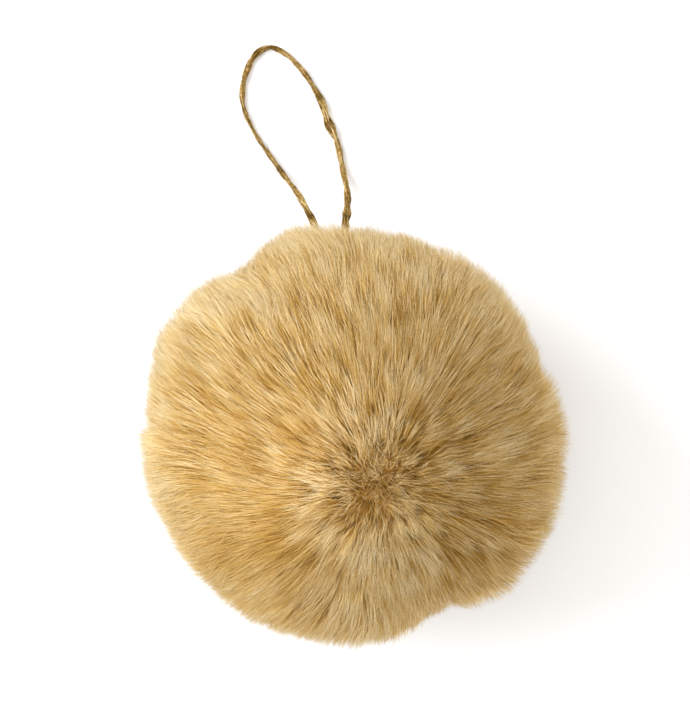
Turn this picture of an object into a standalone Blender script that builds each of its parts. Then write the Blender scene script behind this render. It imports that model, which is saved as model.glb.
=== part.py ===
"""A long-pile pom pom lying on a surface, with its hanging loop of twisted twine. Metres, +Z up.

The ball is one solid: locks of pile whose roots are fused into the round backing. It stands on the level
tips of its lowest locks, and the origin is on the surface under its middle. The twine leaves the backing
through the pile, drops to the surface and lies there in a loop.
"""

import math
import random
from collections import namedtuple

import bmesh
import bpy
from mathutils import Quaternion, Vector

# The ball: its middle above the surface, its backing, and how far the pile reaches at top and bottom
MIDDLE_HEIGHT = 0.0455
BACKING_RADIUS = 0.0350
PILE_REACH = 0.0495

# How far the pile reaches round the widest level, anticlockwise from +X
Reach = namedtuple("Reach", "compass_deg from_middle_mm")
OUTLINE = (
    Reach(0, 50.1),
    Reach(15, 48.5),
    Reach(30, 47.5),
    Reach(45, 49.1),
    Reach(60, 48.8),
    Reach(75, 48.6),
    Reach(90, 47.9),
    Reach(105, 49.9),
    Reach(120, 48.0),
    Reach(135, 49.4),
    Reach(150, 50.7),
    Reach(165, 48.8),
    Reach(180, 49.7),
    Reach(195, 49.2),
    Reach(210, 48.5),
    Reach(225, 48.5),
    Reach(240, 49.5),
    Reach(255, 49.0),
    Reach(270, 49.2),
    Reach(285, 47.9),
    Reach(300, 47.6),
    Reach(315, 51.4),
    Reach(330, 51.6),
    Reach(345, 50.6),
)

# The locks: one on each three-sided cell between points that are spread evenly over the backing
SPREAD_POINTS = 150
POINT_DRIFT = 0.022
WHORL_START_DEG = 39
ROOT_GAP = 0.0005
# Along a lock: shares of its length, of its lean and of its twist, and its width against its root's
Stage = namedtuple("Stage", "length width lean twist")
LOCK_STAGES = (
    Stage(0.34, 1.10, 0.16, 0.2),
    Stage(0.70, 1.00, 0.56, 0.6),
    Stage(1.00, 0.56, 1.00, 1.0),
)
TWIST_SPREAD_DEG = 12
TIP_WIDTH_SPREAD = 0.18
TIP_WANDER = 0.0008
REACH_SPREAD = 0.0011
LEVEL_BELOW = 0.0014
TWINE_CLEARANCE = 0.0044
SHARP_EDGE_DEG = 38
LOCK_SEED = 11

# The pile lies away from the crown, which is a little in front of the ball's top
CROWN = Vector((0.10, -0.21, 0.97)).normalized()
LEAN = 0.0048

# The twine: two plies laid round each other
TWINE_THICKNESS = 0.0015
PLY_WAIST = 0.0010
TWIST_PITCH = 0.0080
STEPS_PER_TWIST = 12
SECTION_SIDES = 8
STEPS_PER_STRETCH = 24

# The twine's route from one end to the other, in millimetres: x, y and its middle's height above the surface
TWINE_ROUTE_MM = (
    (-4.1, 31.5, 30.4),
    (-4.2, 35.3, 28.5),
    (-4.7, 38.8, 25.2),
    (-5.7, 42.0, 20.9),
    (-7.2, 45.6, 16.0),
    (-8.9, 49.7, 11.0),
    (-11.0, 54.0, 6.6),
    (-13.6, 58.3, 3.2),
    (-16.7, 62.4, 1.3),
    (-19.2, 66.0, 0.8),
    (-22.0, 69.9, 0.8),
    (-24.4, 74.1, 0.8),
    (-26.1, 78.4, 0.8),
    (-26.4, 82.4, 0.8),
    (-25.5, 86.8, 0.8),
    (-23.3, 91.0, 0.8),
    (-19.7, 92.9, 0.8),
    (-16.0, 91.3, 0.8),
    (-12.5, 88.0, 0.8),
    (-9.6, 84.0, 0.8),
    (-7.1, 79.4, 0.8),
    (-5.6, 74.7, 0.8),
    (-3.6, 70.2, 0.8),
    (-2.6, 66.0, 0.8),
    (-1.9, 62.4, 1.3),
    (-1.1, 58.3, 3.2),
    (-1.0, 54.0, 6.6),
    (-1.5, 49.7, 11.0),
    (-1.8, 45.6, 16.0),
    (-1.9, 42.0, 20.9),
    (-1.9, 38.8, 25.2),
    (-1.8, 35.3, 28.5),
    (-1.8, 31.8, 30.4),
)


def clear_scene():
    for thing in list(bpy.data.objects):
        bpy.data.objects.remove(thing, do_unlink=True)


def collection_named(name):
    collection = bpy.data.collections.new(name)
    bpy.context.scene.collection.children.link(collection)
    return collection


def material_of(name, colour, roughness):
    material = bpy.data.materials.new(name)
    material.use_nodes = True
    shader = material.node_tree.nodes["Principled BSDF"]
    shader.inputs["Base Color"].default_value = (*colour, 1.0)
    shader.inputs["Roughness"].default_value = roughness
    shader.inputs["Metallic"].default_value = 0.0
    return material


def reach_towards(direction):
    """How far the pile reaches from the middle: the outline at the widest level, even above and below."""
    compass = math.degrees(math.atan2(direction.y, direction.x)) % 360
    row, share = divmod(compass * len(OUTLINE) / 360, 1)
    before = OUTLINE[int(row) % len(OUTLINE)].from_middle_mm
    after = OUTLINE[(int(row) + 1) % len(OUTLINE)].from_middle_mm
    at_widest = (before + (after - before) * share) / 1000
    level = direction.x ** 2 + direction.y ** 2
    return PILE_REACH + (at_widest - PILE_REACH) * level


def lean_of(direction):
    """Where and how far a lock's tip lies over: nowhere at the crown and under the ball, most halfway."""
    return (direction * direction.dot(CROWN) - CROWN) * LEAN


def backing_cells(chance):
    """The backing as a ball of three-sided cells, in whorls round the crown."""
    cells = bmesh.new()
    to_crown = CROWN.to_track_quat("Z", "Y")
    golden_turn = math.pi * (3 - math.sqrt(5))
    for place in range(SPREAD_POINTS):
        height = 1 - (2 * place + 1) / SPREAD_POINTS
        level = math.sqrt(1 - height * height)
        angle = golden_turn * place + math.radians(WHORL_START_DEG)
        direction = to_crown @ Vector((level * math.cos(angle), level * math.sin(angle), height))
        drift = Vector([chance.uniform(-POINT_DRIFT, POINT_DRIFT) for _ in range(3)])
        cells.verts.new((direction + drift).normalized() * BACKING_RADIUS)
    bmesh.ops.convex_hull(cells, input=cells.verts[:])
    bmesh.ops.recalc_face_normals(cells, faces=cells.faces[:])
    return cells


def lock_line(foot, chance):
    """The middles of a lock's stages up to its tip, and whether the tip is level on the surface."""
    outward = foot.normalized()
    reach = reach_towards(outward) - chance.uniform(0, REACH_SPREAD)
    wander = Vector([chance.uniform(-TIP_WANDER, TIP_WANDER) for _ in range(3)])
    straight = outward * reach
    tip = (straight + lean_of(outward) + wander).normalized() * reach
    level = tip.z < LEVEL_BELOW - MIDDLE_HEIGHT
    length = 1.0
    if level:
        length = (-MIDDLE_HEIGHT - foot.z) / (tip.z - foot.z)
    line = []
    for stage in LOCK_STAGES:
        upright = foot.lerp(straight, stage.length * length)
        line.append(upright + (tip - straight) * stage.lean * length)
    return line, level


def meets_twine(foot, line, route):
    return any((place - middle).length < TWINE_CLEARANCE for middle in [foot, *line] for place in route)


def grow_lock(cells, root, line, level, chance):
    """Draws one cell out along its line into a lock that narrows to a blunt tip."""
    foot = root.calc_center_median()
    around = [vert.co - foot for vert in root.verts]
    outward = foot.normalized()
    full_twist = math.radians(chance.uniform(-TWIST_SPREAD_DEG, TWIST_SPREAD_DEG))
    tip_width = 1 + chance.uniform(-TIP_WIDTH_SPREAD, TIP_WIDTH_SPREAD)
    face = root
    before = foot
    for centre, stage in zip(line, LOCK_STAGES):
        tilt = outward.rotation_difference(centre - before)
        turn = tilt @ Quaternion(outward, full_twist * stage.twist)
        size = stage.width * (1 + (tip_width - 1) * stage.lean)
        face = bmesh.ops.extrude_discrete_faces(cells, faces=[face])["faces"][0]
        for vert, offset in zip(face.verts, around):
            vert.co = centre + (turn @ offset) * size
        before = centre
    if level:
        for vert in face.verts:
            vert.co.z = -MIDDLE_HEIGHT


def add_ball(collection):
    chance = random.Random(LOCK_SEED)
    cells = backing_cells(chance)
    middle = Vector((0, 0, MIDDLE_HEIGHT))
    route = [place - middle for place in smooth_route()]
    planned = []
    for cell in cells.faces:
        foot = cell.calc_center_median()
        line, level = lock_line(foot, chance)
        if not meets_twine(foot, line, route):
            planned.append((cell, line, level))
    roots = [cell for cell, _line, _level in planned]
    bmesh.ops.inset_individual(cells, faces=roots, thickness=ROOT_GAP, use_even_offset=True)
    for root, line, level in planned:
        grow_lock(cells, root, line, level, chance)
    for axis in (0, 1):
        places = [vert.co[axis] for vert in cells.verts]
        off_middle = (min(places) + max(places)) / 2
        for vert in cells.verts:
            vert.co[axis] -= off_middle
    mesh = bpy.data.meshes.new("pompom")
    cells.to_mesh(mesh)
    cells.free()
    mesh.materials.append(material_of("golden beige fur", (0.58, 0.39, 0.19), 0.9))
    ball = bpy.data.objects.new("pompom", mesh)
    ball.location = middle
    collection.objects.link(ball)
    return ball


def smooth_route():
    """Evenly spaced points on a smooth curve through the twine's route, in metres."""
    places = [Vector(row) / 1000 for row in TWINE_ROUTE_MM]
    padded = [places[0] * 2 - places[1], *places, places[-1] * 2 - places[-2]]
    fine = []
    for before, start, end, after in zip(padded, padded[1:], padded[2:], padded[3:]):
        for step in range(STEPS_PER_STRETCH):
            t = step / STEPS_PER_STRETCH
            fine.append(
                start
                + (end - before) * (t / 2)
                + (before * 2 - start * 5 + end * 4 - after) * (t * t / 2)
                + (start * 3 - before - end * 3 + after) * (t ** 3 / 2)
            )
    fine.append(places[-1])
    travelled = [0.0]
    for start, end in zip(fine, fine[1:]):
        travelled.append(travelled[-1] + (end - start).length)
    steps = round(travelled[-1] / TWIST_PITCH * STEPS_PER_TWIST)
    even = []
    place = 0
    for step in range(steps + 1):
        wanted = travelled[-1] * step / steps
        while travelled[place + 1] < wanted and place < len(fine) - 2:
            place += 1
        share = (wanted - travelled[place]) / (travelled[place + 1] - travelled[place])
        even.append(fine[place].lerp(fine[place + 1], share))
    return even


def add_section(guides):
    """The twine cut across: two plies side by side with a waist between them."""
    outline = bpy.data.curves.new("twine_section", "CURVE")
    outline.dimensions = "2D"
    spline = outline.splines.new("POLY")
    spline.points.add(SECTION_SIDES - 1)
    spline.use_cyclic_u = True
    mean = (TWINE_THICKNESS + PLY_WAIST) / 4
    swing = (TWINE_THICKNESS - PLY_WAIST) / 4
    for place, point in enumerate(spline.points):
        angle = -math.tau * place / SECTION_SIDES
        radius = mean + swing * math.cos(2 * angle)
        point.co = (radius * math.cos(angle), radius * math.sin(angle), 0.0, 1.0)
    section = bpy.data.objects.new("twine_section", outline)
    section.hide_render = True
    section.display_type = "WIRE"
    guides.objects.link(section)
    return section


def add_twine(collection, guides):
    line = bpy.data.curves.new("hang_loop", "CURVE")
    line.dimensions = "3D"
    line.twist_mode = "MINIMUM"
    line.bevel_mode = "OBJECT"
    line.bevel_object = add_section(guides)
    line.use_fill_caps = True
    places = smooth_route()
    spline = line.splines.new("POLY")
    spline.points.add(len(places) - 1)
    for step, (point, place) in enumerate(zip(spline.points, places)):
        point.co = (*place, 1.0)
        point.tilt = math.tau * step / STEPS_PER_TWIST
    spline.use_smooth = True
    line.materials.append(material_of("jute twine", (0.42, 0.29, 0.14), 0.85))
    twine = bpy.data.objects.new("hang_loop", line)
    collection.objects.link(twine)
    return twine


def main():
    clear_scene()
    pom_pom = collection_named("pom_pom")
    guides = collection_named("pom_pom_guides")
    ball = add_ball(pom_pom)
    ball.data.shade_smooth()
    ball.data.set_sharp_from_angle(angle=math.radians(SHARP_EDGE_DEG))
    add_twine(pom_pom, guides)


main()
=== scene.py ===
"""The looks of a long-pile pom pom: its fur strand by strand, the twine of its loop, light and camera."""

import math
from collections import namedtuple

import bmesh
import bpy
import numpy as np
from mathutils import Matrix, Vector, noise
from mathutils.kdtree import KDTree


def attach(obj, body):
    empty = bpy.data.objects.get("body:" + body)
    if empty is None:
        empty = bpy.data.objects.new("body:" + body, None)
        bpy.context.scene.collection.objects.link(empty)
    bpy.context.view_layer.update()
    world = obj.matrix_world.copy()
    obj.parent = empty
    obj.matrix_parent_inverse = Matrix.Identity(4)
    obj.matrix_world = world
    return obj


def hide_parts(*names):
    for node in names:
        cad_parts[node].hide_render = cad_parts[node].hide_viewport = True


# The ball: the height of its middle, how far the pile reaches, and the way to the crown, where it parts
MIDDLE_HEIGHT = 0.0455
PILE_REACH = 0.0495
CROWN = np.array((0.150, -0.258, 0.955))
CROWN = CROWN / np.linalg.norm(CROWN)
Reach = namedtuple("Reach", "compass_deg from_middle_mm")
OUTLINE = (
    Reach(0, 50.1),
    Reach(15, 48.5),
    Reach(30, 47.5),
    Reach(45, 49.1),
    Reach(60, 48.8),
    Reach(75, 48.6),
    Reach(90, 47.9),
    Reach(105, 49.9),
    Reach(120, 48.0),
    Reach(135, 49.4),
    Reach(150, 50.7),
    Reach(165, 48.8),
    Reach(180, 49.7),
    Reach(195, 49.2),
    Reach(210, 48.5),
    Reach(225, 48.5),
    Reach(240, 49.5),
    Reach(255, 49.0),
    Reach(270, 49.2),
    Reach(285, 47.9),
    Reach(300, 47.6),
    Reach(315, 51.4),
    Reach(330, 51.6),
    Reach(345, 50.6),
)

# Where the pile parts at the rim, which leaves a notch in the outline
Parting = namedtuple("Parting", "compass_deg half_width_deg depth_mm")
PARTINGS = (
    Parting(21, 4.0, 1.6),
    Parting(69, 7.0, 0.9),
    Parting(80, 4.0, 0.8),
    Parting(124, 5.0, 2.0),
    Parting(170, 4.0, 1.1),
    Parting(176, 2.5, 2.2),
    Parting(207, 5.0, 0.6),
    Parting(293, 5.0, 1.9),
    Parting(300, 3.0, 1.4),
)

# Where the fur is browner or paler than the rest, in millimetres as the camera above sees it: partly the
# fur's own tone, partly painted light and shade, darker on the right and lower right and paler at the top,
# the bottom and the upper left
Patch = namedtuple("Patch", "x_mm y_mm across_mm change")
WIDE_TONE_AND_PAINTED_LIGHT_PATCHES = (
    Patch(-28.0, -26.0, 12.0, -0.18),
    Patch(-20.0, 0.0, 10.0, -0.16),
    Patch(-11.0, 13.0, 8.0, -0.10),
    Patch(-33.0, -1.0, 10.0, -0.06),
    Patch(-15.0, -22.0, 8.0, -0.17),
    Patch(28.0, -24.0, 11.0, -0.22),
    Patch(34.0, 1.0, 12.0, -0.10),
    Patch(28.0, 30.0, 10.0, 0.18),
    Patch(0.0, 37.0, 12.0, 0.06),
    Patch(-25.0, 26.0, 9.0, 0.20),
    Patch(4.0, -38.0, 11.0, 0.16),
)
# About the crown and down to the lower right: the fur's own pale and brown streaks, with painted shade in
# the dark streaks where the tufts part
CROWN_TONE_AND_PAINTED_SHADE_PATCHES = (
    Patch(5.0, 6.0, 2.3, -0.80),
    Patch(4.5, 1.0, 1.8, -0.20),
    Patch(14.5, 4.5, 2.2, -0.45),
    Patch(12.5, -1.5, 1.7, -0.28),
    Patch(22.5, 5.0, 2.2, -0.45),
    Patch(19.0, -4.5, 2.6, -0.50),
    Patch(25.5, -3.0, 2.4, -0.30),
    Patch(13.5, -9.5, 1.8, -0.34),
    Patch(13.5, -12.3, 2.0, -0.35),
    Patch(8.0, -13.5, 1.5, -0.22),
    Patch(17.5, -15.5, 2.2, -0.30),
    Patch(3.5, -17.5, 2.0, -0.50),
    Patch(-1.0, -17.8, 1.8, -0.24),
    Patch(-2.0, -30.0, 2.6, -0.45),
    Patch(0.5, -5.5, 2.0, -0.10),
    Patch(-5.0, 1.0, 3.5, -0.18),
    Patch(-0.5, -23.3, 3.0, -0.24),
    Patch(-10.0, -13.0, 4.0, 0.14),
    Patch(-17.0, -27.5, 6.0, -0.16),
    Patch(-18.0, -18.0, 2.0, -0.26),
    Patch(-12.5, -24.5, 2.2, 0.24),
    Patch(-8.0, -15.5, 1.7, -0.20),
    Patch(-21.5, -8.5, 1.6, -0.26),
    Patch(-34.5, -12.0, 1.7, -0.24),
    Patch(-27.0, -12.5, 1.8, -0.14),
    Patch(-22.5, -14.5, 1.8, -0.16),
    Patch(-31.0, -8.5, 1.5, -0.16),
    Patch(-14.0, -36.5, 2.0, -0.18),
    Patch(27.5, -19.0, 2.2, -0.16),
    Patch(21.5, -27.0, 2.4, -0.55),
    Patch(26.0, -28.0, 2.6, -0.50),
    Patch(30.0, -27.5, 2.2, -0.42),
    Patch(22.5, -33.5, 2.2, -0.55),
    Patch(28.0, -33.0, 2.2, -0.20),
    Patch(13.4, -5.0, 1.4, 0.24),
    Patch(7.5, -4.0, 3.4, 0.16),
    Patch(4.0, -11.0, 3.0, 0.32),
    Patch(-0.5, -12.0, 3.0, 0.22),
    Patch(-3.0, -7.0, 3.0, 0.10),
    Patch(6.5, -14.5, 1.6, 0.20),
    Patch(17.0, -12.6, 1.2, 0.20),
    Patch(11.0, -19.5, 2.1, 0.30),
    Patch(8.5, -22.5, 2.0, 0.26),
    Patch(13.8, -22.8, 2.0, 0.28),
    Patch(17.2, -24.0, 1.9, 0.36),
    Patch(16.6, -28.0, 1.5, 0.26),
    Patch(18.6, -31.0, 1.7, 0.50),
    Patch(10.5, -30.0, 2.3, 0.22),
    Patch(4.5, -29.0, 2.6, 0.26),
    Patch(26.5, -23.2, 1.8, 0.34),
    Patch(31.5, -24.6, 1.8, 0.42),
    Patch(33.0, -36.0, 2.0, 0.14),
    Patch(36.0, -2.0, 3.0, 0.10),
)
# Over the upper half: the fur's own pale and brown streaks, with painted shade in the dark streaks where the
# tufts part
UPPER_TONE_AND_PAINTED_SHADE_PATCHES = (
    Patch(-37.5, 24.0, 1.8, -0.32),
    Patch(-33.5, 19.0, 2.0, -0.20),
    Patch(-37.5, 14.0, 2.6, -0.22),
    Patch(-34.5, 10.8, 1.7, -0.18),
    Patch(-24.0, 17.8, 2.1, -0.40),
    Patch(-20.0, 12.5, 2.2, -0.26),
    Patch(-15.5, 10.0, 1.8, -0.18),
    Patch(-14.5, 21.5, 1.8, -0.26),
    Patch(-13.5, 30.5, 2.5, -0.18),
    Patch(-8.0, 0.0, 2.2, -0.24),
    Patch(-8.0, 27.5, 2.0, -0.12),
    Patch(-32.0, -2.0, 1.6, -0.16),
    Patch(-9.0, 39.0, 3.6, -0.14),
    Patch(11.5, 26.5, 2.4, -0.34),
    Patch(12.5, 20.5, 2.4, -0.14),
    Patch(24.0, 18.5, 2.2, -0.34),
    Patch(29.0, 23.0, 2.2, -0.18),
    Patch(20.0, 33.0, 1.6, -0.30),
    Patch(28.0, 14.0, 1.8, -0.16),
    Patch(-28.5, 34.5, 1.9, 0.30),
    Patch(-30.4, 30.2, 1.8, 0.30),
    Patch(-31.6, 26.2, 1.8, 0.26),
    Patch(-35.0, 27.0, 1.5, 0.18),
    Patch(-21.5, 31.0, 2.3, 0.22),
    Patch(-17.5, 30.5, 1.9, 0.18),
    Patch(-22.0, 22.0, 1.6, 0.20),
    Patch(-14.6, 14.8, 1.5, 0.26),
    Patch(-13.0, 11.2, 1.5, 0.22),
    Patch(-29.0, 15.0, 2.0, 0.16),
    Patch(-31.0, 10.5, 2.0, 0.14),
    Patch(-29.0, -1.0, 2.3, 0.16),
    Patch(-13.5, 42.0, 2.0, 0.16),
    Patch(7.0, 34.0, 2.4, 0.36),
    Patch(17.5, 35.0, 1.7, 0.34),
    Patch(14.5, 12.5, 1.8, 0.22),
    Patch(8.0, 22.0, 1.8, 0.20),
)
TONE_AND_PAINTED_LIGHT_PATCHES = WIDE_TONE_AND_PAINTED_LIGHT_PATCHES + CROWN_TONE_AND_PAINTED_SHADE_PATCHES + UPPER_TONE_AND_PAINTED_SHADE_PATCHES

# Where the strands differ more from each other than elsewhere, or less
ROUGH_PATCHES = (
    Patch(-28.0, -26.0, 17.0, -0.80),
    Patch(19.0, 22.0, 9.0, -0.45),
    Patch(-36.0, 0.0, 12.0, -0.25),
    Patch(2.0, 38.0, 10.0, -0.15),
    Patch(27.0, -26.0, 11.0, 0.65),
    Patch(6.0, -36.0, 10.0, 0.35),
    Patch(7.0, -11.0, 12.0, 0.35),
    Patch(30.0, 0.0, 8.0, 0.15),
)

# The locks and the tufts they gather in: pushes on a ball of radius one, lifts as shares of the reach
LOCKS = 12000
LOCK_ROOT_SPREAD = 0.008
TUFTS = 2200
TUFT_ROOT_SPREAD = 0.02
TUFT_DRAWN = 0.32
WILD_TO_TIDY_DEG = (3, 21)
LEAN_AT_CROWN_DEG = 2
Step = namedtuple("Step", "change from_deg to_deg")
LEAN_STEPS = (Step(3, 1, 9), Step(9, 0, 34), Step(-6, 100, 165))
Wave = namedtuple("Wave", "amount scale seed")
TURN_WAVES = (Wave(0.40, 2.4, 1), Wave(0.38, 6.0, 2), Wave(0.12, 14.0, 7))
LEAN_WAVES = (Wave(0.34, 5.0, 3), Wave(0.16, 12.0, 8))
LIFT_WAVES = (Wave(0.014, 8.0, 4),)
LOCK_SHADE_WAVES = (Wave(0.24, 9.0, 6),)
LOCK_PUSH = 0.015
WILD_LOCK_PUSH = 0.034
LOCK_LIFT_SPREAD = 0.005
WILD_SINK = 0.002
TUFT_LIFT_SPREAD = 0.006
DARK_LOCKS = -0.40
LOCK_SHADE_SPREAD = 0.09
TUFT_SHADE_SPREAD = 0.08
PALER_AT_CROWN = 0.14
# painted light: the pile paler from 45 to 85 degrees off the crown, the rim as the camera above sees it
PAINTED_RIM_LIGHT = 0.22

# The strands: each widest at its bend, with coarser guard hairs over soft ones, and strays out of their lock
STRANDS = 121000
CROWN_STRANDS = 35000
CROWN_CANDIDATES = 8
CROWN_STRANDS_END_DEG = (12, 47)
STRAND_ROOT_SPREAD = 0.004
ROOT_RADIUS = 0.0395
STRAND_RADIUS_MM = 0.062
BEND_AT = 0.66
BEND_HIGHER = 0.03
BEND_TOWARDS_TIP = 0.45
REACH_SHARE = 1.032
DRAWN_TOGETHER = 0.32
STRAY_DRAWN = 0.05
STRAY_SHARE = 0.18
STRAY_PUSH = 2.2
STRAND_PUSH = 0.030
WILD_STRAND_PUSH = 0.016
GUARD_SHARE = 0.28
GUARD_SHORT = 0.016
SOFT_SHORT = 0.032
SOFT_SHORT_AT_LEAST = 0.008
USUAL_SHADE = 0.57
GUARD_PALER = 0.26
SHORT_DARKER = 2.6
STRAND_SHADE_SPREAD = 0.17
STRAND_SHADE_WAVES = (Wave(0.26, 90.0, 9), Wave(0.42, 160.0, 10))
WILD_GUARD_PALER = 0.20
WILD_SOFT_DARKER = -0.05
FUR_SEED = 5
LOWEST = 0.0002

# The pieces of the fur: five sectors of the compass, and two halves of the part about the crown
SECTOR_DEG = 72
CROWN_PART_DEG = 50
FUR_PIECES = ("right", "back", "left", "front_left", "front", "crown_back", "crown_front")

# The dense pile deep between the strands, coloured dark brown: partly the roots' colour, partly painted
# shade of the depth
GROUND_RADIUS = 0.0443
GROUND_LUMPS = 0.0010
GROUND_LOWEST = 0.0012

# The twine: two plies of coarse fibres, and the way it lies from one end in the ball to the other
PLY_PITCH = 0.0125
FIBRE_PITCH = 0.0150
PLY_FIBRES = 12
FIBRE_RADIUS_MM = 0.100
FIBRE_CORNERS = 4
USUAL_WIDTH_MM = 1.24
PLY_APART = 0.00021
PLY_CORE_MM = 0.33
FIBRES_OUT = 0.00037
OPENED_AT = 0.667
OPENED_HALF_LENGTH = 0.020
OPENED_BY = 0.9
TWINE_SAMPLES = 320
STEPS_BETWEEN_POINTS = 24
LOOSE_HAIRS = 110
BARE_SAMPLES = 60
HAIR_POINTS = 5
TWINE_SEED = 3
Width = namedtuple("Width", "share_of_length across_mm")
TWINE_WIDTHS = (
    Width(0.000, 1.60),
    Width(0.185, 1.65),
    Width(0.230, 1.45),
    Width(0.285, 1.25),
    Width(0.333, 1.05),
    Width(0.377, 0.95),
    Width(0.420, 1.35),
    Width(0.450, 1.45),
    Width(0.483, 1.50),
    Width(0.510, 1.25),
    Width(0.540, 1.30),
    Width(0.562, 1.20),
    Width(0.590, 1.40),
    Width(0.615, 1.70),
    Width(0.655, 1.85),
    Width(0.685, 1.55),
    Width(0.740, 1.40),
    Width(0.780, 1.75),
    Width(0.805, 1.95),
    Width(1.000, 1.70),
)
# Darker and paler places along the twine: the jute's own, and painted shade near both ends, where the twine
# comes out from under the fur (shares about 0.19 and 0.79 to 0.82)
Spot = namedtuple("Spot", "share_of_length half_length_share change")
TWINE_SPOTS_AND_SHADE = (
    Spot(0.190, 0.011, -0.50),
    Spot(0.215, 0.007, 0.20),
    Spot(0.250, 0.010, -0.15),
    Spot(0.290, 0.009, -0.45),
    Spot(0.310, 0.006, 0.10),
    Spot(0.333, 0.010, -0.40),
    Spot(0.375, 0.014, -0.15),
    Spot(0.445, 0.008, -0.20),
    Spot(0.483, 0.009, -0.60),
    Spot(0.512, 0.010, -0.70),
    Spot(0.540, 0.012, 0.15),
    Spot(0.563, 0.004, 0.55),
    Spot(0.580, 0.008, -0.30),
    Spot(0.613, 0.007, -0.55),
    Spot(0.638, 0.007, 0.20),
    Spot(0.657, 0.008, -0.30),
    Spot(0.690, 0.055, 0.20),
    Spot(0.785, 0.009, -0.40),
    Spot(0.819, 0.010, -0.65),
)
TWINE_ROUTE_MM = (
    (-4.1, 31.5, 30.4),
    (-4.2, 35.3, 28.5),
    (-4.7, 38.8, 25.2),
    (-5.7, 42.0, 20.9),
    (-7.2, 45.6, 16.0),
    (-8.9, 49.7, 11.0),
    (-11.0, 54.0, 6.6),
    (-13.6, 58.3, 3.2),
    (-16.7, 62.4, 1.3),
    (-19.2, 66.0, 0.8),
    (-22.0, 69.9, 0.8),
    (-24.4, 74.1, 0.8),
    (-26.1, 78.4, 0.8),
    (-26.4, 82.4, 0.8),
    (-25.5, 86.8, 0.8),
    (-23.3, 91.0, 0.8),
    (-19.7, 92.9, 0.8),
    (-16.0, 91.3, 0.8),
    (-12.5, 88.0, 0.8),
    (-9.6, 84.0, 0.8),
    (-7.1, 79.4, 0.8),
    (-5.6, 74.7, 0.8),
    (-3.6, 70.2, 0.8),
    (-2.6, 66.0, 0.8),
    (-1.9, 62.4, 1.3),
    (-1.1, 58.3, 3.2),
    (-1.0, 54.0, 6.6),
    (-1.5, 49.7, 11.0),
    (-1.8, 45.6, 16.0),
    (-1.9, 42.0, 20.9),
    (-1.9, 38.8, 25.2),
    (-1.8, 35.3, 28.5),
    (-1.8, 31.8, 30.4),
)

# The view: straight down, as far off as a camera over a table
CAMERA_HEIGHT = 1.2
VIEW_WIDTH = 0.1605
VIEW_MIDDLE = (-0.0016, 0.0188)

# The light: a large window to the left, in a pale room, over a pale floor
ROOM_COLOUR = (1, 0.985, 0.97, 1)
ROOM_STRENGTH = 1.19
WINDOW_PLACE = (-1.15, 0.34, 0.92)
WINDOW_ACROSS = 1.3
WINDOW_POWER = 22.4
WINDOW_COLOUR = (0.95, 0.98, 1.06)
FLOOR_RADIUS = 6
FLOOR_COLOUR = (0.94, 0.94, 0.94, 1)


def ease(values, low, high):
    """From 0 at low to 1 at high, with a soft start and end."""
    share = np.clip((values - low) / (high - low), 0, 1)
    return share * share * (3 - 2 * share)


def unit(vectors):
    return vectors / np.maximum(np.linalg.norm(vectors, axis=-1, keepdims=True), 1e-9)


def spread_directions(count):
    """Directions spread evenly over a ball."""
    place = np.arange(count) + 0.5
    height = 1 - 2 * place / count
    level = np.sqrt(1 - height * height)
    angle = math.pi * (3 - math.sqrt(5)) * place
    return np.stack([level * np.cos(angle), level * np.sin(angle), height], axis=1)


def reach_towards(directions):
    """How far the pile reaches from the middle: the outline at the widest level, even above and below."""
    compass = np.degrees(np.arctan2(directions[:, 1], directions[:, 0])) % 360
    known = [row.compass_deg for row in OUTLINE] + [360]
    reach = [row.from_middle_mm for row in OUTLINE] + [OUTLINE[0].from_middle_mm]
    at_widest = np.interp(compass, known, reach) / 1000
    for parting in PARTINGS:
        aside = (compass - parting.compass_deg) / parting.half_width_deg
        at_widest = at_widest - parting.depth_mm / 1000 * np.exp(-(aside**2))
    level = directions[:, 0] ** 2 + directions[:, 1] ** 2
    return PILE_REACH + (at_widest - PILE_REACH) * level


def waves(directions, scale, seed):
    """A smooth value between about -1 and 1 over the ball."""
    away = Vector((seed * 7.1, seed * 3.7, seed * 5.3))
    return np.array([noise.noise(Vector(row) * scale + away) for row in directions])


def waved(directions, rows):
    """The sum of a few waves."""
    return sum(row.amount * waves(directions, row.scale, row.seed) for row in rows)


def degrees_from_crown(directions):
    return np.degrees(np.arccos(np.clip(directions @ CROWN, -1, 1)))


def sideways(directions, amount, chance):
    """A small random push across each direction, the same in every sense."""
    push = chance.normal(0, 1, directions.shape)
    push = push - directions * np.sum(push * directions, axis=1)[:, None]
    return push * np.asarray(amount)[:, None]


def nearest_of(places, directions):
    """For each direction, the number of the place nearest to it."""
    tree = KDTree(len(places))
    for number, place in enumerate(places):
        tree.insert(place, number)
    tree.balance()
    return np.array([tree.find(direction)[1] for direction in directions])


def patched(places, patches):
    """What the patches change at each place, by where the camera above sees it."""
    nearer = (CAMERA_HEIGHT - MIDDLE_HEIGHT) / (CAMERA_HEIGHT - MIDDLE_HEIGHT - places[:, 2])
    seen = (VIEW_MIDDLE + (places[:, :2] - VIEW_MIDDLE) * nearer[:, None]) * 1000
    total = np.zeros(len(places))
    for patch in patches:
        aside = np.hypot(seen[:, 0] - patch.x_mm, seen[:, 1] - patch.y_mm) / patch.across_mm
        total += patch.change * np.exp(-(aside**2))
    return total


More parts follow.
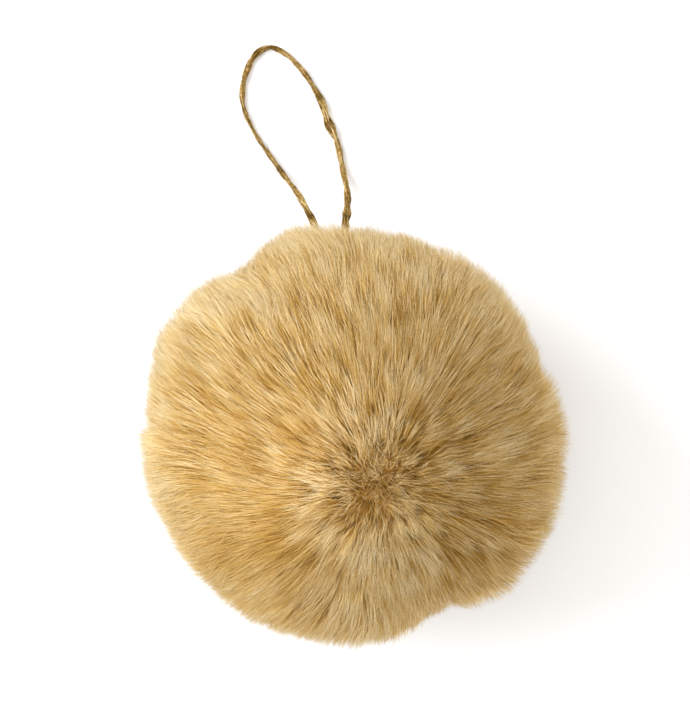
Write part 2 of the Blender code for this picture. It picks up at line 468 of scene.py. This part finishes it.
def lock_lines(chance):
    """For each lock: the direction of its root and of its tip, its lift, its shade, and how wild it is."""
    roots = unit(spread_directions(LOCKS) + chance.normal(0, LOCK_ROOT_SPREAD, (LOCKS, 3)))
    from_crown = degrees_from_crown(roots)
    away = unit(roots * (roots @ CROWN)[:, None] - CROWN)
    side = np.cross(roots, away)
    wild = 1 - ease(from_crown, *WILD_TO_TIDY_DEG)
    turn = waved(roots, TURN_WAVES)
    leaning = away * np.cos(turn)[:, None] + side * np.sin(turn)[:, None]
    lean = LEAN_AT_CROWN_DEG
    for step in LEAN_STEPS:
        lean = lean + step.change * ease(from_crown, step.from_deg, step.to_deg)
    lean = np.radians(lean) * (1 + waved(roots, LEAN_WAVES))
    push = sideways(roots, LOCK_PUSH + WILD_LOCK_PUSH * wild, chance)
    tips = unit(roots + leaning * np.tan(lean)[:, None] + push)
    lift = waved(roots, LIFT_WAVES) - np.abs(chance.normal(0, LOCK_LIFT_SPREAD, LOCKS)) - WILD_SINK * wild
    shade = waved(roots, LOCK_SHADE_WAVES) + DARK_LOCKS * ease(waves(roots, 20.0, 5), 0.10, 0.5)
    shade = shade + chance.normal(0, LOCK_SHADE_SPREAD, LOCKS)
    # paler about the crown, and painted light: paler towards the rim seen from above
    shade = shade + PALER_AT_CROWN * (1 - ease(from_crown, 5, 35)) + PAINTED_RIM_LIGHT * ease(from_crown, 45, 85)
    tuft_roots = unit(spread_directions(TUFTS) + chance.normal(0, TUFT_ROOT_SPREAD, (TUFTS, 3)))
    tuft = nearest_of(tuft_roots, roots)
    tuft_tips = np.zeros((TUFTS, 3))
    np.add.at(tuft_tips, tuft, tips)
    drawn = TUFT_DRAWN * (1 + patched(tips * PILE_REACH, ROUGH_PATCHES))[:, None]
    tips = unit(tips * (1 - drawn) + unit(tuft_tips)[tuft] * drawn)
    lift = lift + chance.normal(0, TUFT_LIFT_SPREAD, TUFTS)[tuft] * (1 + wild)
    shade = shade + chance.normal(0, TUFT_SHADE_SPREAD, TUFTS)[tuft] * (1 + 0.8 * wild)
    return roots, tips, lift, shade, wild


def strand_roots(chance):
    """Directions of the strands' roots: even over the ball, with more about the crown."""
    even = spread_directions(STRANDS)
    more = spread_directions(CROWN_STRANDS * CROWN_CANDIDATES)
    kept = chance.random(len(more)) < 1 - ease(degrees_from_crown(more), *CROWN_STRANDS_END_DEG)
    more = more[kept]
    roots = np.vstack([even, more[chance.permutation(len(more))[:CROWN_STRANDS]]])
    return unit(roots + chance.normal(0, STRAND_ROOT_SPREAD, roots.shape))


def strand_lines(chance):
    """For each strand: the places of its root, bend and tip, its shade and its thickness in millimetres."""
    lock_roots, lock_tips, lock_lift, lock_shade, lock_wild = lock_lines(chance)
    roots = strand_roots(chance)
    count = len(roots)
    lock = nearest_of(lock_roots, roots)
    wild = lock_wild[lock]
    stray = chance.random(count) < STRAY_SHARE
    own_push = (STRAND_PUSH + WILD_STRAND_PUSH * wild) * np.where(stray, STRAY_PUSH, 1.0)
    own_tip = unit(roots + lock_tips[lock] - lock_roots[lock] + sideways(roots, own_push, chance))
    rough = 1 + patched(lock_tips * PILE_REACH, ROUGH_PATCHES)[lock]
    drawn = (np.where(stray, STRAY_DRAWN, DRAWN_TOGETHER) * rough)[:, None]
    tip_way = unit(own_tip * (1 - drawn) + lock_tips[lock] * drawn)
    bend_way = unit(roots * (1 - BEND_TOWARDS_TIP) + tip_way * BEND_TOWARDS_TIP)
    guard = chance.random(count) < GUARD_SHARE
    short = np.abs(chance.normal(0, 1, count)) * np.where(guard, GUARD_SHORT, SOFT_SHORT)
    short = short + np.where(guard, 0, SOFT_SHORT_AT_LEAST)
    reach = reach_towards(tip_way) * (REACH_SHARE + lock_lift[lock] - short)
    root = roots * ROOT_RADIUS
    bend = bend_way * (ROOT_RADIUS + (reach - ROOT_RADIUS) * (BEND_AT + BEND_HIGHER))[:, None]
    tip = tip_way * reach[:, None]
    differ = lock_shade[lock] - SHORT_DARKER * short + chance.normal(0, STRAND_SHADE_SPREAD, count)
    differ = differ + waved(roots, STRAND_SHADE_WAVES)
    # the patches add the fur's own browner and paler places together with painted light and shade
    shade = USUAL_SHADE + GUARD_PALER * guard + differ * rough + patched((bend + tip) / 2, TONE_AND_PAINTED_LIGHT_PATCHES)
    shade = shade + wild * np.where(guard, WILD_GUARD_PALER, WILD_SOFT_DARKER)
    thick = STRAND_RADIUS_MM * (1 - 0.40 * wild) * (0.8 + 0.35 * chance.random(count) + 0.35 * guard)
    return root, bend, tip, shade, thick


def strand_form():
    """A strand's form round a straight line: three sides, a point at each end, widest at the bend."""
    form = bmesh.new()
    bmesh.ops.create_cone(form, cap_ends=True, segments=3, radius1=1, radius2=0, depth=1 - BEND_AT)
    bmesh.ops.translate(form, verts=form.verts, vec=(0, 0, (1 + BEND_AT) / 2))
    bmesh.ops.remove_doubles(form, verts=form.verts, dist=1e-5)
    base = [face for face in form.faces if all(vert.co.z < BEND_AT + 1e-5 for vert in face.verts)]
    poked = bmesh.ops.poke(form, faces=base)
    for vert in poked["verts"]:
        vert.co.z = 0
    bmesh.ops.recalc_face_normals(form, faces=form.faces[:])
    return form


def arrays_of(form):
    """A form's corners, and its faces as rows of corner numbers one after another."""
    form.verts.index_update()
    places = np.array([vert.co for vert in form.verts])
    rings = [[vert.index for vert in face.verts] for face in form.faces]
    return places, rings


def copies_mesh(name, places, rings, attributes, uv):
    """One mesh of many copies: places is copies by corners by 3, and rings are the faces of one copy."""
    copies, corners = places.shape[:2]
    one = np.concatenate(rings)
    sizes = np.array([len(ring) for ring in rings])
    loops = (one[None, :] + np.arange(copies)[:, None] * corners).ravel()
    totals = np.tile(sizes, copies)
    mesh = bpy.data.meshes.new(name)
    mesh.vertices.add(copies * corners)
    mesh.vertices.foreach_set("co", places.astype(np.float32).ravel())
    mesh.loops.add(len(loops))
    mesh.loops.foreach_set("vertex_index", loops.astype(np.int32))
    mesh.polygons.add(len(totals))
    mesh.polygons.foreach_set("loop_start", (np.cumsum(totals) - totals).astype(np.int32))
    mesh.update(calc_edges=True)
    mesh.shade_smooth()
    for label, values in attributes.items():
        layer = mesh.attributes.new(label, "FLOAT", "POINT")
        layer.data.foreach_set("value", values.astype(np.float32).ravel())
    layer = mesh.uv_layers.new(name="OFBake")
    layer.data.foreach_set("uv", uv.astype(np.float32).ravel())
    return mesh


def cell_uv(copies, form_places, rings):
    """Each copy in its own cell of the map: round the strand across and along it upwards."""
    turn = (np.degrees(np.arctan2(form_places[:, 1], form_places[:, 0])) % 360) / 360
    on_axis = np.hypot(form_places[:, 0], form_places[:, 1]) < 1e-6
    across = []
    for ring in rings:
        around = [turn[corner] for corner in ring if not on_axis[corner]]
        if max(around) - min(around) > 0.5:
            around = [value + 1 if value < 0.5 else value for value in around]
        found = iter(around)
        across += [sum(around) / len(around) if on_axis[corner] else next(found) for corner in ring]
    up = form_places[np.concatenate(rings), 2]
    columns = math.ceil(math.sqrt(copies * 3))
    rows = math.ceil(copies / columns)
    place = np.arange(copies)
    cell = np.stack([(place % columns) / columns, (place // columns) / rows], axis=1)
    inner = np.stack([0.10 + 0.8 * np.array(across) / 1.34, 0.06 + 0.88 * up], axis=1)
    return cell[:, None, :] + inner[None, :, :] / (columns, rows)


def strand_copies():
    """Every strand: its corners' places, its way from the middle, its shade, and one strand's form."""
    chance = np.random.default_rng(FUR_SEED)
    root, bend, tip, shade, thick = strand_lines(chance)
    form = strand_form()
    form_places, rings = arrays_of(form)
    form.free()
    bent = np.interp(form_places[:, 2], [0, BEND_AT, 1], [0, 1, 2])
    share_root = np.clip(1 - bent, 0, 1)[None, :, None]
    share_tip = np.clip(bent - 1, 0, 1)[None, :, None]
    line = root[:, None] * share_root + bend[:, None] * (1 - share_root - share_tip)
    line = line + tip[:, None] * share_tip
    forward = unit(tip - root)
    across = unit(np.cross(forward, unit(chance.normal(0, 1, root.shape))))
    over = np.cross(forward, across)
    spread = across[:, None] * form_places[None, :, 0:1] + over[:, None] * form_places[None, :, 1:2]
    places = line + spread * thick[:, None, None] / 1000
    places[..., 2] = np.maximum(places[..., 2], LOWEST - MIDDLE_HEIGHT)
    places[..., 2] += MIDDLE_HEIGHT
    return places, unit(bend), shade, form_places, rings


def fur_meshes():
    """The fur in seven pieces: five sectors, and both halves of the part about the crown."""
    places, way, shade, form_places, rings = strand_copies()
    compass = np.degrees(np.arctan2(way[:, 1], way[:, 0])) % 360
    crown_half = np.where(way[:, 1] > CROWN[1], 5, 6)
    about_crown = way @ CROWN > math.cos(math.radians(CROWN_PART_DEG))
    sector = np.where(about_crown, crown_half, (compass // SECTOR_DEG).astype(int))
    made = []
    for number, name in enumerate(FUR_PIECES):
        own = np.flatnonzero(sector == number)
        own = own[np.lexsort((compass[own], np.round(way[own] @ CROWN, 2)))]
        attributes = {
            "along": np.tile(form_places[:, 2], len(own)),
            "shade": np.repeat(shade[own], len(form_places)),
        }
        uv = cell_uv(len(own), form_places, rings)
        made.append(copies_mesh(f"fur_{name}", places[own], rings, attributes, uv))
    return made


def twine_path():
    """The route through its points, evenly sampled, with two directions across it at each sample."""
    known = np.array(TWINE_ROUTE_MM) / 1000
    padded = np.vstack([2 * known[0] - known[1], known, 2 * known[-1] - known[-2]])
    fine = []
    for a, b, c, d in zip(padded, padded[1:], padded[2:], padded[3:]):
        t = np.linspace(0, 1, STEPS_BETWEEN_POINTS, endpoint=False)[:, None]
        bends = (2 * a - 5 * b + 4 * c - d) * t**2 + (3 * b - a - 3 * c + d) * t**3
        fine.append(0.5 * (2 * b + (c - a) * t + bends))
    fine = np.vstack([*fine, known[-1:]])
    travelled = np.concatenate([[0], np.cumsum(np.linalg.norm(np.diff(fine, axis=0), axis=1))])
    even = np.linspace(0, travelled[-1], TWINE_SAMPLES)
    path = np.stack([np.interp(even, travelled, fine[:, axis]) for axis in range(3)], axis=1)
    forward = unit(np.gradient(path, axis=0))
    across = [unit(np.cross(forward[0], (0.0, 0.0, 1.0)))]
    for direction in forward[1:]:
        across.append(unit(across[-1] - direction * (across[-1] @ direction)))
    across = np.array(across)
    return path, even, forward, across, np.cross(forward, across)


def add_line(curve, points, radii):
    """One round fibre of the twine, as a line of points and its thickness at each."""
    spline = curve.splines.new("POLY")
    spline.points.add(len(points) - 1)
    spline.points.foreach_set("co", np.hstack([points, np.ones((len(points), 1))]).ravel())
    spline.points.foreach_set("radius", radii)


def twine_lines():
    """The fibres of both plies, and the loose hairs: places, thickness in millimetres and shade of each."""
    chance = np.random.default_rng(TWINE_SEED)
    path, even, forward, across, over = twine_path()
    along = even / even[-1]
    known = [row.share_of_length for row in TWINE_WIDTHS]
    width = np.interp(along, known, [row.across_mm for row in TWINE_WIDTHS])
    slim = width / USUAL_WIDTH_MM + 0.04 * np.sin(even * 430) + 0.03 * np.sin(even * 183 + 1)
    opened = OPENED_BY * np.exp(-(((along - OPENED_AT) / OPENED_HALF_LENGTH) ** 2))
    turn = math.tau * even / PLY_PITCH + 0.9 * np.sin(even * 95) + 0.4 * np.sin(even * 211 + 2)
    # the spots: the jute's own darker and paler places, with painted shade near both ends under the fur
    spots_and_shade = np.zeros(TWINE_SAMPLES)
    for spot in TWINE_SPOTS_AND_SHADE:
        aside = (along - spot.share_of_length) / spot.half_length_share
        spots_and_shade = spots_and_shade + spot.change * np.exp(-(aside**2))
    lines = []
    for ply in range(2):
        side = turn + ply * math.pi
        apart = PLY_APART * slim * (1 + opened)
        middle = path + (across * np.cos(side)[:, None] + over * np.sin(side)[:, None]) * apart[:, None]
        # each ply's core: a dark tube between its fibres, painted shade deep in the ply
        lines.append((middle, PLY_CORE_MM * slim * (1 - 0.3 * opened), 0.10 + 0.6 * spots_and_shade))
        for fibre in range(PLY_FIBRES):
            round_ply = math.tau * (fibre / PLY_FIBRES - even / FIBRE_PITCH) + chance.uniform(-0.2, 0.2)
            round_ply = round_ply + 0.4 * np.sin(even * chance.uniform(60, 160) + chance.uniform(0, 6))
            uneven = 1 + 0.10 * np.sin(even * chance.uniform(300, 700) + fibre)
            out = FIBRES_OUT * slim * (1 - 0.3 * opened) * uneven
            off = (across * np.cos(round_ply)[:, None] + over * np.sin(round_ply)[:, None]) * out[:, None]
            thick = FIBRE_RADIUS_MM * slim * chance.uniform(0.8, 1.25)
            points = middle + off
            points[:, 2] = np.maximum(points[:, 2], thick / 1000)
            lines.append((points, thick, chance.uniform(0.0, 1.0) + spots_and_shade))
    for _ in range(LOOSE_HAIRS):
        start = chance.integers(BARE_SAMPLES, TWINE_SAMPLES - BARE_SAMPLES)
        away = unit(across[start] * chance.normal() + over[start] * chance.normal())
        onward = forward[start] * chance.choice([-1, 1])
        length = chance.uniform(0.0010, 0.0032)
        t = np.linspace(0, 1, HAIR_POINTS)[:, None]
        off = 0.0004 + length * chance.uniform(0.2, 0.5) * t**1.5
        hair = path[start] + onward * length * t + away * off
        hair[:, 2] = np.maximum(hair[:, 2], 0.0001)
        lines.append((hair, np.linspace(0.035, 0.012, HAIR_POINTS), chance.uniform(0.4, 1.1)))
    return path, lines


def twine_mesh(lines):
    """All fibres as one mesh of square tubes with closed ends, each corner with its shade."""
    curve = bpy.data.curves.new("jute_loop", "CURVE")
    curve.dimensions = "3D"
    curve.bevel_depth = 0.001
    curve.bevel_resolution = 0
    curve.use_fill_caps = False
    shades = []
    for points, thick, shade in lines:
        add_line(curve, points, np.broadcast_to(thick, len(points)))
        shades.append(np.repeat(np.broadcast_to(shade, len(points)), FIBRE_CORNERS))
    guide = bpy.data.objects.new("jute_loop_lines", curve)
    bpy.context.scene.collection.objects.link(guide)
    mesh = bpy.data.meshes.new_from_object(guide.evaluated_get(bpy.context.evaluated_depsgraph_get()))
    bpy.data.objects.remove(guide)
    bpy.data.curves.remove(curve)
    mesh.name = "jute_loop"
    closed = bmesh.new()
    closed.from_mesh(mesh)
    ends = [edge for edge in closed.edges if edge.is_boundary]
    bmesh.ops.holes_fill(closed, edges=ends, sides=FIBRE_CORNERS)
    bmesh.ops.recalc_face_normals(closed, faces=closed.faces[:])
    closed.to_mesh(mesh)
    closed.free()
    layer = mesh.attributes.new("shade", "FLOAT", "POINT")
    layer.data.foreach_set("value", np.concatenate(shades).astype(np.float32))
    mesh.shade_smooth()
    mesh.materials.clear()
    return mesh


def add_twine():
    path, lines = twine_lines()
    piece = add_piece(twine_mesh(lines), jute_material(), "jute_twine", "hang_loop")


def new_material(name):
    material = bpy.data.materials.new(name)
    material.use_nodes = True
    nodes = material.node_tree.nodes
    return material, nodes, material.node_tree.links, nodes["Principled BSDF"]


def ramp_node(nodes, *stops):
    """A colour ramp with its stops given as place, red, green and blue."""
    ramp = nodes.new("ShaderNodeValToRGB")
    ramp.color_ramp.elements[0].position = stops[0][0]
    ramp.color_ramp.elements[0].color = (*stops[0][1:], 1)
    ramp.color_ramp.elements[1].position = stops[-1][0]
    ramp.color_ramp.elements[1].color = (*stops[-1][1:], 1)
    for stop in stops[1:-1]:
        ramp.color_ramp.elements.new(stop[0]).color = (*stop[1:], 1)
    return ramp


def attribute_node(nodes, label):
    node = nodes.new("ShaderNodeAttribute")
    node.attribute_name = label
    return node


def times(nodes, links, first, second):
    """The product of two colours."""
    product = nodes.new("ShaderNodeVectorMath")
    product.operation = "MULTIPLY"
    links.new(first, product.inputs[0])
    links.new(second, product.inputs[1])
    return product.outputs["Vector"]


def fur_material():
    """Each strand golden, tan or cream, darker towards its root, with wide golden patches over the ball."""
    material, nodes, links, shader = new_material("golden beige fur")
    own = ramp_node(nodes, (0.0, 0.37, 0.18, 0.018), (0.5, 0.738, 0.489, 0.154), (1.0, 0.95, 0.80, 0.50))
    links.new(attribute_node(nodes, "shade").outputs["Fac"], own.inputs["Fac"])
    depth = ramp_node(nodes, (0.15, 0.52, 0.35, 0.14), (0.60, 0.86, 0.76, 0.55), (0.90, 1.0, 1.0, 1.0))
    links.new(attribute_node(nodes, "along").outputs["Fac"], depth.inputs["Fac"])
    coordinates = nodes.new("ShaderNodeTexCoord")
    patches = nodes.new("ShaderNodeTexNoise")
    patches.inputs["Scale"].default_value = 120
    patches.inputs["Detail"].default_value = 3
    links.new(coordinates.outputs["Object"], patches.inputs["Vector"])
    golden = ramp_node(nodes, (0.35, 0.97, 0.92, 0.78), (0.62, 1.0, 1.0, 1.0))
    links.new(patches.outputs["Fac"], golden.inputs["Fac"])
    strand = times(nodes, links, own.outputs["Color"], depth.outputs["Color"])
    links.new(times(nodes, links, strand, golden.outputs["Color"]), shader.inputs["Base Color"])
    shader.inputs["Roughness"].default_value = 0.6
    shader.inputs["Specular IOR Level"].default_value = 0.10
    return material


def jute_material():
    """Tan fibres, some browner and some straw pale, with fine dark flecks."""
    material, nodes, links, shader = new_material("raw jute")
    coordinates = nodes.new("ShaderNodeTexCoord")
    flecks = nodes.new("ShaderNodeTexNoise")
    flecks.inputs["Scale"].default_value = 1400
    flecks.inputs["Detail"].default_value = 4
    links.new(coordinates.outputs["Object"], flecks.inputs["Vector"])
    blend = nodes.new("ShaderNodeMath")
    blend.operation = "MULTIPLY_ADD"
    blend.inputs[1].default_value = 0.55
    links.new(attribute_node(nodes, "shade").outputs["Fac"], blend.inputs[0])
    spread = nodes.new("ShaderNodeMapRange")
    spread.inputs["From Min"].default_value = 0.25
    spread.inputs["From Max"].default_value = 0.75
    spread.inputs["To Min"].default_value = -0.08
    spread.inputs["To Max"].default_value = 0.50
    links.new(flecks.outputs["Fac"], spread.inputs["Value"])
    links.new(spread.outputs["Result"], blend.inputs[2])
    ramp = ramp_node(nodes, (0.08, 0.10, 0.050, 0.004), (0.5, 0.36, 0.225, 0.060), (0.98, 0.80, 0.61, 0.31))
    links.new(blend.outputs["Value"], ramp.inputs["Fac"])
    links.new(ramp.outputs["Color"], shader.inputs["Base Color"])
    shader.inputs["Roughness"].default_value = 0.75
    shader.inputs["Specular IOR Level"].default_value = 0.15
    return material


def add_piece(mesh, material, slot, *nodes):
    mesh.materials.append(material)
    piece = bpy.data.objects.new(mesh.name, mesh)
    bpy.context.scene.collection.objects.link(piece)
    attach(piece, "root")
    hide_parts(*nodes)
    return piece


def add_fur():
    material = fur_material()
    for mesh in fur_meshes():
        add_piece(mesh, material, "fur_pile", "pompom")


def add_pile_ground():
    """The dense pile deep between the strands: a ball with low lumps, its dark brown partly the roots'
    colour and partly painted shade deep in the pile.
    """
    ground = bmesh.new()
    bmesh.ops.create_icosphere(ground, subdivisions=4, radius=1)
    for vert in ground.verts:
        direction = vert.co.normalized()
        lumps = noise.noise(direction * 9) * GROUND_LUMPS
        vert.co = direction * (GROUND_RADIUS + lumps)
        vert.co.z = max(vert.co.z, GROUND_LOWEST - MIDDLE_HEIGHT) + MIDDLE_HEIGHT
    mesh = bpy.data.meshes.new("pile_ground")
    ground.to_mesh(mesh)
    ground.free()
    mesh.shade_smooth()
    material, nodes, links, shader = new_material("deep fur in painted shade")
    grain = nodes.new("ShaderNodeTexNoise")
    grain.inputs["Scale"].default_value = 900
    coordinates = nodes.new("ShaderNodeTexCoord")
    links.new(coordinates.outputs["Object"], grain.inputs["Vector"])
    # painted shade: the deep pile dark brown, with a fine grain
    ramp = ramp_node(nodes, (0.3, 0.22, 0.105, 0.012), (0.7, 0.50, 0.27, 0.045))
    links.new(grain.outputs["Fac"], ramp.inputs["Fac"])
    links.new(ramp.outputs["Color"], shader.inputs["Base Color"])
    shader.inputs["Roughness"].default_value = 0.9
    add_piece(mesh, material, "fur_pile", "pompom")


def add_floor():
    floor = bmesh.new()
    bmesh.ops.create_circle(floor, cap_ends=True, segments=96, radius=FLOOR_RADIUS)
    mesh = bpy.data.meshes.new("pale_floor")
    floor.to_mesh(mesh)
    floor.free()
    material, _, _, shader = new_material("pale floor")
    shader.inputs["Base Color"].default_value = FLOOR_COLOUR
    shader.inputs["Roughness"].default_value = 0.9
    mesh.materials.append(material)
    piece = bpy.data.objects.new("pale_floor", mesh)
    bpy.context.scene.collection.objects.link(piece)


def add_light(name, place, size, power, colour):
    data = bpy.data.lights.new(name, "AREA")
    data.shape = "DISK"
    data.size = size
    data.energy = power
    data.color = colour
    light = bpy.data.objects.new(name, data)
    light.location = place
    towards = Vector((0, 0, MIDDLE_HEIGHT)) - Vector(place)
    light.rotation_euler = towards.to_track_quat("-Z", "Y").to_euler()
    bpy.context.scene.collection.objects.link(light)


def add_lights():
    world = bpy.data.worlds.new("studio")
    world.use_nodes = True
    sky = world.node_tree.nodes["Background"]
    sky.inputs["Color"].default_value = ROOM_COLOUR
    sky.inputs["Strength"].default_value = ROOM_STRENGTH
    bpy.context.scene.world = world
    add_light("window_light", WINDOW_PLACE, WINDOW_ACROSS, WINDOW_POWER, WINDOW_COLOUR)
    bpy.context.scene.view_settings.view_transform = "Standard"


def add_camera():
    data = bpy.data.cameras.new("camera_above")
    data.sensor_fit = "HORIZONTAL"
    data.lens = data.sensor_width * (CAMERA_HEIGHT - MIDDLE_HEIGHT) / VIEW_WIDTH
    camera = bpy.data.objects.new("camera_above", data)
    camera.location = (*VIEW_MIDDLE, CAMERA_HEIGHT)
    bpy.context.scene.collection.objects.link(camera)
    bpy.context.scene.camera = camera


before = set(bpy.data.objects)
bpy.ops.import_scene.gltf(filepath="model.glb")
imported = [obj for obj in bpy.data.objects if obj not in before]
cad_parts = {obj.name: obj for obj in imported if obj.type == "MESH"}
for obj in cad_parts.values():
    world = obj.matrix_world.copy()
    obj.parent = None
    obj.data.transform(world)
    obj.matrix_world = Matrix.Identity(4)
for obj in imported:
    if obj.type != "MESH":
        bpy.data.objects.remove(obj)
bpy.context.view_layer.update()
add_camera()
add_twine()
add_fur()
add_pile_ground()
add_floor()
add_lights()
